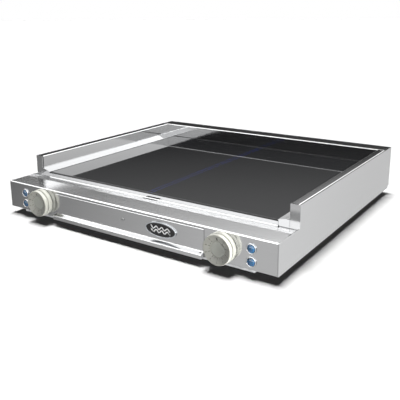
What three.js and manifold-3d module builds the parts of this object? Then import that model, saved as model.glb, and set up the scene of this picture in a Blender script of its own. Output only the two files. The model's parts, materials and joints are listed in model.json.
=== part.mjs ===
// Counter-top electric induction cooktop with splash guards and a grease tray.
// Millimetres, +Z up, the front facing -Y, the origin on the floor under the middle of the object.
// Inside the body group, y = 0 is the front face of the fascia and z = 0 is its lower edge.

import * as THREE from 'three';
import { mergeVertices } from 'three/addons/utils/BufferGeometryUtils.js';
import Module from 'manifold-3d';

// ---- Driving dimensions ----

const bodyWidth = 620;
const bodyDepth = 560;
const consoleHeight = 55; // lower edge of the fascia to the flat strip on top of the console
const guardHeight = 94; // lower edge of the fascia to the top of the splash guards
const floorClearance = 14; // floor to the lower edge of the fascia
const sheet = 1.5; // stainless steel sheet
const gap = 0.3; // clearance between two pieces that touch
const bendRadius = 1.6; // outer radius of a fold in the sheet
const past = 1; // how far a cutter runs past the metal it cuts

const stripDepth = 45; // flat strip on top of the console
const guardFront = 73; // front face of the riser and of the guards' ends
const gutterFall = 3.5; // how far the gutter falls between the strip and the riser
const gutterFloor = consoleHeight - gutterFall;
const riserTop = 60; // the riser stands up in front of the glass's edge
const flangeDepth = 15; // ledge that carries the front and back edges of the glass
const returnDepth = 14; // flange folded back at the bottom of a panel

const sideGuardWidth = 18;
const backGuardDepth = 40;
const capGap = 2; // shadow gap between a guard's cap and the outer panel
const capHem = 9; // height of the hem folded down at a cap's outer edge

const glassTop = 62;
const glassThickness = 4;
const glassHalfWidth = 270.8;
const glassCornerRadius = 3;
const sealWidth = 1.5;
const sealFloor = 0.8;
const ledgeTop = glassTop - glassThickness - sealFloor - 2 * gap;
const sideLedgeWidth = 30;

const trimRise = 5.2; // how far the sloping side trim rises from the glass to the wall
const trimSheet = 0.9;
const trimEdge = 271; // half width between the two trims' lower edges
const trimFoot = 0.7; // clearance under a trim's front end

const drainCentreX = 8;
const drainSlot = { length: 35, width: 6.5, cornerRadius: 3 };
const overflowSlit = { length: 32, width: 1.4 };

const trayHalfWidth = 174.7;
const trayFrontTop = 49.5;
const traySeam = 0.8;
const lipTop = 9.8;
const lipReach = 9;
const lipEdgeTop = 7;
const lipEdgeBottom = -0.4;
const rivetZ = 32;
const rivetHole = 1.9;
const pan = { halfWidth: 171.5, depth: 90, floor: 1.2, top: 40, sheet: 1 };

const knobX = 210;
const knobZ = 27;
const knobReach = 18.6;
const collarReach = 8.8; // how far the fixed collar stands out of the fascia
const dishDepth = 4.5; // the turning knob's face is dished
const capRadius = 13;
const capThickness = 1.8;
const shaftRadius = 3;
const shaftHole = 6; // radius of the fascia's hole behind a knob
const lampHole = 7.9; // radius of the fascia's hole behind a lamp
const lampX = 263;
const lampHeights = { lower: 14, upper: 36 };
const badge = { x: 86, z: 29.5, width: 67, height: 28, rim: 2.2, rimReach: 1.8, plateReach: 1.2 };

const zoneX = 140; // middle of a cooking zone
const zoneY = 294;
const coil = { inner: 28, outer: 116, bottom: 48, top: 53 };
const footX = 235;
const footDepths = { front: 45, back: 515 };
const fanY = 155;
const fanSize = 80;
const glandX = -255;
const glandZ = 26;
const glandReach = 12;
const glandHole = 10.4;
const screwHole = 2.3;

const halfWidth = bodyWidth / 2;
const innerHalf = halfWidth - sheet - gap; // half width between the side panels
const wallX = halfWidth - sideGuardWidth; // inner face of a side guard
const wallY = bodyDepth - backGuardDepth; // inner face of the back guard

// ---- Colours and finishes ----

const finishes = {
  brushedSteel: { color: 0xb9bbbd, roughness: 0.32, metalness: 1 },
  galvanisedSteel: { color: 0x9a9c9d, roughness: 0.45, metalness: 1 },
  blackGlass: { color: 0x15161a, roughness: 0.05, metalness: 0 },
  blackRubber: { color: 0x121212, roughness: 0.8, metalness: 0 },
  creamPlastic: { color: 0xdcdccf, roughness: 0.35, metalness: 0 },
  greyPlastic: { color: 0xa4a69c, roughness: 0.4, metalness: 0 },
  blackPlastic: { color: 0x1a1a1b, roughness: 0.5, metalness: 0 },
  chrome: { color: 0xdfe3e6, roughness: 0.1, metalness: 1 },
  blueLens: { color: 0x1c6fb4, roughness: 0.12, metalness: 0 },
  copper: { color: 0xb5673a, roughness: 0.4, metalness: 1 },
  aluminium: { color: 0xc4c6c8, roughness: 0.4, metalness: 1 },
  circuitBoard: { color: 0x1f5b35, roughness: 0.6, metalness: 0 },
};

// ---- Solids: joining, cutting, placing ----

const wasm = await Module();
wasm.setup();

function toSolid(geometry) {
  const bare = geometry.clone();
  bare.deleteAttribute('normal');
  bare.deleteAttribute('uv');
  const merged = mergeVertices(bare);
  const corners = [];
  for (let i = 0; i < merged.index.count; i += 3) {
    const triangle = [0, 1, 2].map((step) => merged.index.getX(i + step));
    if (new Set(triangle).size === 3) corners.push(...triangle);
  }
  return new wasm.Manifold(new wasm.Mesh({
    numProp: 3,
    vertProperties: merged.attributes.position.array,
    triVerts: new Uint32Array(corners),
  }));
}

function toGeometry(solid) {
  const { vertProperties, triVerts } = solid.getMesh();
  const geometry = new THREE.BufferGeometry();
  geometry.setAttribute('position', new THREE.BufferAttribute(vertProperties, 3));
  geometry.setIndex(new THREE.BufferAttribute(triVerts, 1));
  return geometry;
}

function cut(base, ...tools) {
  return toGeometry(tools.reduce((left, tool) => left.subtract(toSolid(tool)), toSolid(base)));
}

function join(...pieces) {
  return toGeometry(pieces.map(toSolid).reduce((sum, piece) => sum.add(piece)));
}

// The mirror image across the plane x = 0.
function mirrored(geometry) {
  const copy = geometry.clone().scale(-1, 1, 1);
  const turned = copy.index ? copy : mergeVertices(copy);
  const index = turned.index.array;
  for (let i = 0; i < index.length; i += 3) {
    [index[i], index[i + 1]] = [index[i + 1], index[i]];
  }
  return turned;
}

function box([x0, x1], [y0, y1], [z0, z1]) {
  const geometry = new THREE.BoxGeometry(x1 - x0, y1 - y0, z1 - z0);
  return geometry.translate((x0 + x1) / 2, (y0 + y1) / 2, (z0 + z1) / 2);
}

// A flat outline in (y, z), drawn out along x.
function alongX(shape, [x0, x1]) {
  const geometry = new THREE.ExtrudeGeometry(shape, { depth: x1 - x0, bevelEnabled: false });
  const axes = new THREE.Matrix4().makeBasis(
    new THREE.Vector3(0, 1, 0),
    new THREE.Vector3(0, 0, 1),
    new THREE.Vector3(1, 0, 0),
  );
  return geometry.applyMatrix4(axes).translate(x0, 0, 0);
}

// A flat outline in (x, z), drawn out along y.
function alongY(shape, [y0, y1], curveSegments = 12) {
  const geometry = new THREE.ExtrudeGeometry(shape, { depth: y1 - y0, bevelEnabled: false, curveSegments });
  return geometry.rotateX(Math.PI / 2).translate(0, y1, 0);
}

// A flat outline in (x, y), drawn out along z.
function alongZ(shape, [z0, z1], bevel = 0) {
  const geometry = new THREE.ExtrudeGeometry(shape, {
    depth: z1 - z0 - 2 * bevel,
    bevelEnabled: bevel > 0,
    bevelThickness: bevel,
    bevelSize: bevel,
    bevelOffset: -bevel,
    bevelSegments: 1,
    curveSegments: 4,
  });
  return geometry.translate(0, 0, z0 + bevel);
}

// A turned piece from a profile of [radius, height] points, listed bottom to top on the outside.
function turned(profile, segments) {
  return new THREE.LatheGeometry(vectors(profile), segments);
}

// A turned piece whose height runs up, standing at (x, y, z).
function standing(profile, segments, [x, y, z]) {
  return turned(profile, segments).rotateX(Math.PI / 2).translate(x, y, z);
}

// A turned piece whose height runs out of the fascia towards the cook.
function facingFront(profile, segments, [x, z]) {
  return turned(profile, segments).rotateX(Math.PI).translate(x, 0, z);
}

// A turned piece whose height runs out of the back panel.
function facingBack(profile, segments, [x, z]) {
  return turned(profile, segments).translate(x, bodyDepth, z);
}

// The profile of a plain round rod or of a drill.
function rod(radius, [bottom, top]) {
  return [[0, bottom], [radius, bottom], [radius, top], [0, top]];
}

// A closed profile, for a ring or a bored piece, ends where it starts.
function ring(profile) {
  return [...profile, profile[0]];
}

// ---- Outlines ----

function vectors(points) {
  return points.map(([u, v]) => new THREE.Vector2(u, v));
}

// The arc that rounds one corner.
function cornerArc(before, corner, after, radius, steps) {
  const back = before.clone().sub(corner).normalize();
  const ahead = after.clone().sub(corner).normalize();
  const half = Math.acos(THREE.MathUtils.clamp(back.dot(ahead), -1, 1)) / 2;
  const centre = back.clone().add(ahead).setLength(radius / Math.sin(half)).add(corner);
  const start = back.clone().multiplyScalar(radius / Math.tan(half)).add(corner);
  const sweep = (Math.PI - 2 * half) * Math.sign(ahead.cross(back));
  return Array.from({ length: steps + 1 }, (_, step) => (
    start.clone().rotateAround(centre, (sweep * step) / steps)
  ));
}

// An open line through the points, with every corner between its ends rounded.
function roundedLine(points, radius, steps = 3) {
  const corners = vectors(points);
  const middle = corners.slice(1, -1);
  const arcs = middle.flatMap((corner, i) => cornerArc(corners[i], corner, corners[i + 2], radius, steps));
  return [corners[0], ...arcs, corners[corners.length - 1]];
}

// A closed outline through the points, with every corner rounded.
function roundedShape(points, radius, steps = 3) {
  const corners = vectors(points);
  const count = corners.length;
  return new THREE.Shape(corners.flatMap((corner, i) => (
    cornerArc(corners[(i + count - 1) % count], corner, corners[(i + 1) % count], radius, steps)
  )));
}

// The line moved sideways, to its left for a positive distance.
function sideways(line, distance) {
  const headings = line.slice(1).map((point, i) => point.clone().sub(line[i]).normalize());
  return line.map((point, i) => {
    const arriving = headings[Math.max(i - 1, 0)];
    const leaving = headings[Math.min(i, headings.length - 1)];
    const normals = [arriving, leaving].map((heading) => new THREE.Vector2(-heading.y, heading.x));
    const across = normals[0].clone().add(normals[1]).normalize();
    return across.multiplyScalar(distance / across.dot(normals[0])).add(point);
  });
}

// The section of a folded sheet: its visible face follows the points, its metal lies to one side.
function foldedSheet(points, thickness, radius = bendRadius) {
  const face = roundedLine(points, radius);
  return new THREE.Shape([...face, ...sideways(face, thickness).reverse()]);
}

function rectangle([u0, u1], [v0, v1]) {
  return [[u0, v0], [u1, v0], [u1, v1], [u0, v1]];
}

function ellipse(width, height, [x, z]) {
  return new THREE.Shape().absellipse(x, z, width / 2, height / 2, 0, 2 * Math.PI, false);
}

// ---- Housing ----

function frontConsole() {
  const section = foldedSheet([
    [returnDepth, 0],
    [0, 0],
    [0, consoleHeight],
    [stripDepth, consoleHeight],
    [guardFront, gutterFloor],
    [guardFront, ledgeTop],
    [guardFront + flangeDepth, ledgeTop],
  ], -sheet);
  const trayOpening = box(
    [-trayHalfWidth - traySeam, trayHalfWidth + traySeam],
    [-past, returnDepth + past],
    [-past, trayFrontTop + traySeam],
  );
  const riserEnds = [1, -1].map((side) => {
    const ends = [side * (trimEdge + gap), side * (halfWidth + past)].sort((a, b) => a - b);
    return box(ends, [guardFront - past, guardFront + flangeDepth + past], [gutterFloor + gap, glassTop]);
  });
  const riserLip = box(
    [-innerHalf, innerHalf],
    [guardFront, guardFront + sheet],
    [ledgeTop - bendRadius, riserTop],
  );
  const slotBack = guardFront - bendRadius;
  const slot = roundedShape(rectangle(
    [drainCentreX - drainSlot.length / 2, drainCentreX + drainSlot.length / 2],
    [slotBack - drainSlot.width, slotBack],
  ), drainSlot.cornerRadius);
  const slit = box(
    [drainCentreX - overflowSlit.length / 2, drainCentreX + overflowSlit.length / 2],
    [stripDepth, stripDepth + overflowSlit.width],
    [gutterFloor - sheet, consoleHeight + past],
  );
  const punch = [-sheet - past, past];
  const shaftHoles = [-knobX, knobX].map((x) => facingFront(rod(shaftHole, punch), 16, [x, knobZ]));
  const lampHoles = [-lampX, lampX].flatMap((x) => Object.values(lampHeights).map((z) => (
    facingFront(rod(lampHole, punch), 16, [x, z])
  )));
  return cut(
    join(alongX(section, [-innerHalf, innerHalf]), riserLip),
    trayOpening,
    ...riserEnds,
    alongZ(slot, [gutterFloor - 2 * sheet, consoleHeight]),
    slit,
    ...shaftHoles,
    ...lampHoles,
  );
}

function rightSidePanel() {
  const notch = { depth: 8, height: 5 };
  const cornerRadius = 1;
  const outline = roundedShape([
    [0, 0],
    [0, consoleHeight],
    [guardFront, consoleHeight],
    [guardFront, guardHeight],
    [bodyDepth, guardHeight],
    [bodyDepth, notch.height],
    [bodyDepth - notch.depth, notch.height],
    [bodyDepth - notch.depth, 0],
  ], cornerRadius);
  const flangeReach = 46;
  const flange = box(
    [halfWidth - flangeReach, halfWidth - sheet / 2],
    [returnDepth + gap, bodyDepth - returnDepth - gap],
    [0, sheet],
  );
  const guardEnd = box(
    [wallX, halfWidth - sheet / 2],
    [guardFront, guardFront + sheet],
    [gutterFloor + trimFoot, guardHeight],
  );
  return join(alongX(outline, [halfWidth - sheet, halfWidth]), flange, guardEnd);
}

function backPanel() {
  const section = foldedSheet([
    [bodyDepth - returnDepth, 0],
    [bodyDepth, 0],
    [bodyDepth, guardHeight],
  ], sheet);
  const slots = { count: 12, pitch: 9, width: 4, bottom: 12, top: 44 };
  const vents = [-zoneX, zoneX].flatMap((middle) => Array.from({ length: slots.count }, (_, i) => {
    const x = middle + (i - (slots.count - 1) / 2) * slots.pitch;
    const width = [x - slots.width / 2, x + slots.width / 2];
    return box(width, [bodyDepth - sheet - past, bodyDepth + past], [slots.bottom, slots.top]);
  }));
  const punch = [-sheet - past, past];
  const screwHoles = backScrewPlaces().map((place) => facingBack(rod(screwHole, punch), 10, place));
  return cut(
    alongX(section, [-innerHalf, innerHalf]),
    ...vents,
    facingBack(rod(glandHole, punch), 20, [glandX, glandZ]),
    ...screwHoles,
  );
}

function backScrewPlaces() {
  const screwX = 290;
  const heights = [14, 78];
  return heights.flatMap((z) => [-screwX, screwX].map((x) => [x, z]));
}

function backScrew(place) {
  const thread = { radius: 1.9, length: 8 };
  const head = { radius: 4, edge: 1.2, top: 2.4, flat: 2.6 };
  return facingBack([
    [0, -thread.length],
    [thread.radius, -thread.length],
    [thread.radius, gap],
    [head.radius, gap],
    [head.radius, head.edge],
    [head.flat, head.top],
    [0, head.top],
  ], 12, place);
}

function basePlate() {
  const half = 269;
  const front = 1.5;
  const back = bodyDepth - 4;
  const rimHeight = 3.5;
  const outer = box([-half, half], [front, back], [-gap - rimHeight, -gap]);
  const hollow = box(
    [-half + sheet, half - sheet],
    [front + sheet, back - sheet],
    [-gap - rimHeight - past, -gap - sheet],
  );
  const slots = { count: 7, pitch: 9, width: 4, length: 62 };
  const vents = [-zoneX, zoneX].flatMap((middle) => Array.from({ length: slots.count }, (_, i) => {
    const y = fanY + (i - (slots.count - 1) / 2) * slots.pitch;
    const length = [middle - slots.length / 2, middle + slots.length / 2];
    return box(length, [y - slots.width / 2, y + slots.width / 2], [-gap - sheet - past, past]);
  }));
  return cut(outer, hollow, ...vents);
}

// ---- Splash guards, trims and glass ----

function rightGuardLiner() {
  const section = foldedSheet([
    [innerHalf - capGap, guardHeight - capHem],
    [innerHalf - capGap, guardHeight],
    [wallX, guardHeight],
    [wallX, ledgeTop],
    [wallX - sideLedgeWidth, ledgeTop],
  ], sheet);
  const frontLedge = box(
    [wallX - sideLedgeWidth - past, wallX + sheet + past],
    [guardFront, guardFront + flangeDepth + gap],
    [ledgeTop - sheet - bendRadius, ledgeTop + past],
  );
  return cut(alongY(section, [guardFront + sheet + capGap, wallY - gap]), frontLedge);
}

function backGuardLiner() {
  const section = foldedSheet([
    [bodyDepth - sheet - gap - capGap, guardHeight - capHem],
    [bodyDepth - sheet - gap - capGap, guardHeight],
    [wallY, guardHeight],
    [wallY, ledgeTop],
    [wallY - flangeDepth, ledgeTop],
  ], sheet);
  const ledgeEnds = [1, -1].map((side) => {
    const ends = [side * (wallX - sideLedgeWidth - gap), side * halfWidth].sort((a, b) => a - b);
    const height = [ledgeTop - sheet - past, ledgeTop + bendRadius + past];
    return box(ends, [wallY - flangeDepth - past, wallY], height);
  });
  return cut(alongX(section, [-innerHalf + capGap, innerHalf - capGap]), ...ledgeEnds);
}

function rightGlassTrim() {
  const foot = glassTop + gap + trimSheet;
  const wallSide = wallX - gap;
  const frontSheet = 1.2;
  const reliefRadius = 1.6;
  const slope = new THREE.Shape(vectors([
    [trimEdge, foot - trimSheet],
    [wallSide, foot + trimRise - trimSheet],
    [wallSide, foot + trimRise],
    [trimEdge, foot],
  ]));
  const end = new THREE.Shape(vectors([
    [trimEdge + trimFoot, gutterFloor + trimFoot],
    [wallSide, gutterFloor + trimFoot],
    [wallSide, foot + trimRise],
    [trimEdge + trimFoot, foot],
  ]));
  const relief = standingAcross([trimEdge + trimFoot, gutterFloor + trimFoot], reliefRadius);
  return join(
    alongY(slope, [guardFront, wallY - gap]),
    cut(alongY(end, [guardFront, guardFront + frontSheet]), relief),
  );
}

// A round cutter along y through the guards' front ends.
function standingAcross([x, z], radius) {
  const length = 8;
  return new THREE.CylinderGeometry(radius, radius, length, 12).translate(x, guardFront, z);
}

function glassOutline(inset) {
  const side = glassHalfWidth - inset;
  const front = guardFront + sheet + gap + sealWidth + inset;
  const back = wallY - bendRadius - gap - sealWidth - inset;
  return roundedShape(rectangle([-side, side], [front, back]), glassCornerRadius);
}

function glassPlate() {
  const arris = 0.4;
  return alongZ(glassOutline(gap), [glassTop - glassThickness, glassTop], arris);
}

function glassSeal() {
  const bottom = ledgeTop + gap;
  const shelf = 10;
  const outer = alongZ(glassOutline(-sealWidth), [bottom, glassTop - gap]);
  const pocket = alongZ(glassOutline(0), [bottom + sealFloor, glassTop + past]);
  const opening = alongZ(glassOutline(shelf), [bottom - past, glassTop]);
  return cut(outer, pocket, opening);
}

// ---- Grease tray ----

function trayFront() {
  const topReturn = 10;
  const cheekDrop = 1;
  const relief = { radius: 1.7, length: 8, inset: 5, y: -3.5, z: 8.6 };
  const section = foldedSheet([
    [topReturn, trayFrontTop],
    [0, trayFrontTop],
    [0, lipTop],
    [-lipReach, lipEdgeTop],
    [-lipReach, lipEdgeBottom],
  ], sheet);
  const cheek = new THREE.Shape(vectors([
    [sheet / 2, lipEdgeBottom],
    [sheet / 2, lipTop],
    [-lipReach + sheet / 2, lipEdgeTop - cheekDrop],
    [-lipReach + sheet / 2, lipEdgeBottom],
  ]));
  const panel = alongX(section, [-trayHalfWidth, trayHalfWidth]);
  const cheeks = [-trayHalfWidth, trayHalfWidth - sheet].map((x) => alongX(cheek, [x, x + sheet]));
  const reliefX = trayHalfWidth - relief.inset;
  const reliefs = [-reliefX, reliefX].map((x) => (
    new THREE.CylinderGeometry(relief.radius, relief.radius, relief.length, 10)
      .rotateX(Math.PI / 2)
      .translate(x, relief.y, relief.z)
  ));
  const hole = facingFront(rod(rivetHole, [-sheet - past, past]), 10, [0, rivetZ]);
  return cut(join(panel, ...cheeks), ...reliefs, hole);
}

function trayPan() {
  const front = sheet + gap;
  const outer = box([-pan.halfWidth, pan.halfWidth], [front, front + pan.depth], [pan.floor, pan.top]);
  const inner = box(
    [-pan.halfWidth + pan.sheet, pan.halfWidth - pan.sheet],
    [front + pan.sheet, front + pan.depth - pan.sheet],
    [pan.floor + pan.sheet, pan.top + past],
  );
  const hole = facingFront(rod(rivetHole, [-front - pan.sheet - past, 0]), 10, [0, rivetZ]);
  return cut(outer, inner, hole);
}

function trayRivet() {
  const shank = { radius: 1.6, length: 4 };
  return facingFront([
    [0, -shank.length],
    [shank.radius, -shank.length],
    [shank.radius, gap],
    [3, gap],
    [2.7, 1.1],
    [1.6, 1.7],
    [0, 1.9],
  ], 12, [0, rivetZ]);
}

function rightTrayRunner() {
  const runner = { outside: 173.3, width: 10, height: 22, sheet: 0.8, bend: 1.2 };
  const clearOfReturn = 2;
  const overrun = 8;
  const section = foldedSheet([
    [runner.outside - runner.width, 0],
    [runner.outside, 0],
    [runner.outside, runner.height],
  ], runner.sheet, runner.bend);
  return alongY(section, [returnDepth + clearOfReturn, pan.depth + overrun]);
}

// ---- Badge ----

function badgeRim() {
  const outline = ellipse(badge.width, badge.height, [badge.x, badge.z]);
  const inside = ellipse(badge.width - 2 * badge.rim, badge.height - 2 * badge.rim, [badge.x, badge.z]);
  outline.holes.push(inside);
  return alongY(outline, [-gap - badge.rimReach, -gap], 20);
}

function badgePlate() {
  const inset = 2 * (badge.rim + gap);
  const outline = ellipse(badge.width - inset, badge.height - inset, [badge.x, badge.z]);
  return alongY(outline, [-gap - badge.plateReach, -gap], 20);
}

// ---- Knobs, lamps and regulators ----

const knobSegments = 36;

function knobCollar(x) {
  return facingFront(ring([
    [8, gap],
    [26, gap],
    [26.6, 1],
    [26.6, collarReach - 1],
    [25.6, collarReach],
    [8, collarReach],
  ]), knobSegments, [x, knobZ]);
}

function knobBody(x) {
  const back = collarReach + gap;
  const bore = shaftRadius + gap;
  const capSeat = knobReach - dishDepth - capThickness;
  return facingFront(ring([
    [bore, back],
    [23.6, back],
    [23.6, back + 1.2],
    [25.6, back + 1.8],
    [26, back + 2.8],
    [26, knobReach - 1.6],
    [25.2, knobReach - 0.2],
    [24.4, knobReach],
    [capRadius + gap, knobReach - dishDepth],
    [capRadius + gap, capSeat - gap],
    [bore, capSeat - gap],
  ]), knobSegments, [x, knobZ]);
}

function knobCap(x) {
  const top = knobReach - dishDepth + gap;
  const bottom = knobReach - dishDepth - capThickness;
  return facingFront([
    [0, bottom],
    [capRadius, bottom],
    [capRadius, top - 0.5],
    [capRadius - 0.5, top],
    [0, top],
  ], knobSegments, [x, knobZ]);
}

function knobShaft(x) {
  const tip = knobReach - dishDepth - capThickness - 2 * gap;
  const inside = -14;
  return facingFront(rod(shaftRadius, [inside, tip]), 16, [x, knobZ]);
}

function regulator(x) {
  const size = { half: 20, front: 5, back: 38 };
  const bossSize = { radius: 5, root: 6, tip: 2 };
  const boreSize = { radius: shaftRadius + gap, depth: 15 };
  const tab = { halfWidth: 3, reach: 6, bottom: knobZ + 8, top: knobZ + 9 };
  const across = [x - size.half, x + size.half];
  const body = box(across, [size.front, size.back], [knobZ - size.half, knobZ + size.half]);
  const boss = facingFront(rod(bossSize.radius, [-bossSize.root, -bossSize.tip]), 16, [x, knobZ]);
  const bore = facingFront(rod(boreSize.radius, [-boreSize.depth, 0]), 16, [x, knobZ]);
  const blade = box(
    [x - tab.halfWidth, x + tab.halfWidth],
    [size.back - past, size.back + tab.reach],
    [tab.bottom, tab.top],
  );
  return cut(join(body, boss, blade), bore);
}

function lampBezel(place) {
  return facingFront(ring([
    [7.1, -8],
    [7.5, -8],
    [7.5, gap],
    [9, gap],
    [9, 1.4],
    [8.4, 2.2],
    [7.1, 2.2],
  ]), 16, place);
}

function lampLens(place) {
  return facingFront([[0, -8], [6.8, -8], [6.8, 2.2], [5, 3.5], [0, 4]], 16, place);
}

// ---- Heating ----

function inductionCoil(x) {
  const groove = 0.8;
  const middle = (coil.inner + coil.outer) / 2;
  return standing(ring([
    [coil.inner, coil.bottom],
    [coil.outer, coil.bottom],
    [coil.outer, coil.top],
    [middle + groove, coil.top],
    [middle, coil.top - groove],
    [middle - groove, coil.top],
    [coil.inner, coil.top],
  ]), 32, [x, zoneY, 0]);
}

function coilCarrier(x) {
  const top = coil.bottom - gap;
  const dish = { radius: 122, bottom: top - 6, top: top - 4.5 };
  const ferrite = { count: 8, inner: 34, outer: 112, halfWidth: 8, bottom: top - 5 };
  const plate = standing(rod(dish.radius, [dish.bottom, dish.top]), 32, [x, zoneY, 0]);
  const ferrites = Array.from({ length: ferrite.count }, (_, i) => (
    box([ferrite.inner, ferrite.outer], [-ferrite.halfWidth, ferrite.halfWidth], [ferrite.bottom, top])
      .rotateZ((i * 2 * Math.PI) / ferrite.count)
      .translate(x, zoneY, 0)
  ));
  return join(plate, ...ferrites);
}

// ---- Electronics and cooling ----

const boardBottom = 8;
const boardTop = 9.6;
const inBoard = 9; // a part's lower end, let into the board so that the two make one body

function board([x0, x1], [y0, y1], parts) {
  const plate = box([x0, x1], [y0, y1], [boardBottom, boardTop]);
  const pillar = { inset: 6, radius: 3, top: 8.5 };
  const pillarX = [x0 + pillar.inset, x1 - pillar.inset];
  const pillarY = [y0 + pillar.inset, y1 - pillar.inset];
  const pillars = pillarX.flatMap((x) => pillarY.map((y) => (
    standing(rod(pillar.radius, [0, pillar.top]), 8, [x, y, 0])
  )));
  return join(plate, ...pillars, ...parts);
}

function powerBoard(side) {
  const middle = side * zoneX;
  const halfBoard = 84;
  const partsX = middle + side * 66;
  const capacitor = { radius: 11, top: 32, y: 262, spread: 14 };
  const choke = { halfWidth: 12, front: 310, back: 340, top: 28 };
  const capacitors = [-1, 1].map((step) => standing(
    rod(capacitor.radius, [inBoard, capacitor.top]),
    16,
    [partsX, capacitor.y + step * capacitor.spread, 0],
  ));
  const block = box(
    [partsX - choke.halfWidth, partsX + choke.halfWidth],
    [choke.front, choke.back],
    [inBoard, choke.top],
  );
  return board([middle - halfBoard, middle + halfBoard], [214, 392], [...capacitors, block]);
}

function heatSink(side) {
  const middle = side * zoneX;
  const length = [222, 340];
  const base = { halfWidth: 42, bottom: boardTop + 0.4, top: 14 };
  const fins = { count: 9, pitch: 9, width: 2, bottom: 13, top: 34 };
  const slab = box([middle - base.halfWidth, middle + base.halfWidth], length, [base.bottom, base.top]);
  const blades = Array.from({ length: fins.count }, (_, i) => {
    const x = middle + (i - (fins.count - 1) / 2) * fins.pitch;
    return box([x - fins.width / 2, x + fins.width / 2], length, [fins.bottom, fins.top]);
  });
  return join(slab, ...blades);
}

const fanFloor = 0.3;
const fanTop = 25;
const rotorRadius = 35;

function fanFrame(x) {
  const cornerRadius = 5;
  const tipClearance = 2;
  const hubSize = { radius: 14, top: 3 };
  const arm = { count: 3, inner: 10, outer: rotorRadius + 4, halfWidth: 2, top: 2.6 };
  const half = fanSize / 2;
  const outline = roundedShape(rectangle([-half, half], [-half, half]), cornerRadius);
  outline.holes.push(new THREE.Path().absarc(0, 0, rotorRadius + tipClearance, 0, 2 * Math.PI, true));
  const shell = new THREE.ExtrudeGeometry(outline, {
    depth: fanTop - fanFloor,
    bevelEnabled: false,
    curveSegments: 10,
  }).translate(0, 0, fanFloor);
  const hub = standing(rod(hubSize.radius, [fanFloor, hubSize.top]), 16, [0, 0, 0]);
  const arms = Array.from({ length: arm.count }, (_, i) => (
    box([arm.inner, arm.outer], [-arm.halfWidth, arm.halfWidth], [fanFloor, arm.top])
      .rotateZ((i * 2 * Math.PI) / arm.count)
  ));
  return join(shell, hub, ...arms).translate(x, fanY, 0);
}

function fanRotor(x) {
  const hubSize = { radius: 15, bottom: 3.4, top: 22.5, edge: 1.5 };
  const blade = { count: 7, inner: 13, halfSheet: 1, halfChord: 11, pitch: Math.PI / 4, height: 13 };
  const hub = standing([
    [0, hubSize.bottom],
    [hubSize.radius, hubSize.bottom],
    [hubSize.radius, hubSize.top - hubSize.edge],
    [hubSize.radius - hubSize.edge, hubSize.top],
    [0, hubSize.top],
  ], 20, [0, 0, 0]);
  const blades = Array.from({ length: blade.count }, (_, i) => (
    box([blade.inner, rotorRadius], [-blade.halfSheet, blade.halfSheet], [-blade.halfChord, blade.halfChord])
      .rotateX(blade.pitch)
      .translate(0, 0, blade.height)
      .rotateZ((i * 2 * Math.PI) / blade.count)
  ));
  return join(hub, ...blades).translate(x, fanY, 0);
}

function filterBoard() {
  const core = { inner: 6, outer: 16, top: 24 };
  const choke = standing(ring([
    [core.inner, inBoard],
    [core.outer, inBoard],
    [core.outer, core.top],
    [core.inner, core.top],
  ]), 20, [-10, 460, 0]);
  const capacitor = box([20, 46], [440, 452], [inBoard, 26]);
  return board([-45, 55], [425, 500], [choke, capacitor]);
}

function terminalBlock() {
  const block = { left: -230, right: -150, front: 500, back: 524, bottom: 2, top: 24 };
  const well = { count: 5, pitch: 16, halfWidth: 4, wall: 6, bottom: 14 };
  const body = box([block.left, block.right], [block.front, block.back], [block.bottom, block.top]);
  const wells = Array.from({ length: well.count }, (_, i) => {
    const x = block.left + (i + 0.5) * well.pitch;
    return box(
      [x - well.halfWidth, x + well.halfWidth],
      [block.front + well.wall, block.back - well.wall],
      [well.bottom, block.top + past],
    );
  });
  return cut(body, ...wells);
}

function cableGland() {
  const boreRadius = 5;
  const inside = 12;
  const nut = { radius: 14, thickness: 4 };
  const body = facingBack([
    [0, -inside],
    [10, -inside],
    [10, gap],
    [12.5, gap],
    [12.5, 4],
    [11, 5],
    [11, glandReach - 2],
    [9, glandReach],
    [0, glandReach],
  ], 24, [glandX, glandZ]);
  const hexagon = new THREE.CylinderGeometry(nut.radius, nut.radius, nut.thickness, 6)
    .translate(glandX, bodyDepth + gap + nut.thickness / 2, glandZ);
  const bore = facingBack(rod(boreRadius, [-inside - past, glandReach + past]), 24, [glandX, glandZ]);
  return cut(join(body, hexagon), bore);
}

function foot(x, y) {
  const top = -gap - sheet - gap;
  const radius = 16.5;
  const edge = 1.5;
  const shoulder = -5;
  return standing([
    [0, -floorClearance],
    [radius - edge, -floorClearance],
    [radius, -floorClearance + edge],
    [radius, shoulder - edge],
    [radius - edge, shoulder],
    [radius - edge, top],
    [0, top],
  ], 20, [x, y, 0]);
}

// ---- Assembly ----

const body = new THREE.Group();

function add(name, finish, geometry) {
  const mesh = new THREE.Mesh(geometry, new THREE.MeshStandardMaterial(finishes[finish]));
  mesh.name = name;
  body.add(mesh);
}

function addPair(name, finish, rightGeometry) {
  add(`right_${name}`, finish, rightGeometry);
  add(`left_${name}`, finish, mirrored(rightGeometry));
}

add('front_console', 'brushedSteel', frontConsole());
addPair('side_panel', 'brushedSteel', rightSidePanel());
add('back_panel', 'brushedSteel', backPanel());
add('base_plate', 'galvanisedSteel', basePlate());
addPair('guard_liner', 'brushedSteel', rightGuardLiner());
add('back_guard_liner', 'brushedSteel', backGuardLiner());
addPair('glass_trim', 'brushedSteel', rightGlassTrim());
add('glass_plate', 'blackGlass', glassPlate());
add('glass_seal', 'blackRubber', glassSeal());

add('tray_front', 'brushedSteel', trayFront());
add('tray_pan', 'brushedSteel', trayPan());
add('tray_rivet', 'galvanisedSteel', trayRivet());
addPair('tray_runner', 'galvanisedSteel', rightTrayRunner());
add('badge_rim', 'chrome', badgeRim());
add('badge_plate', 'blackPlastic', badgePlate());

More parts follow.
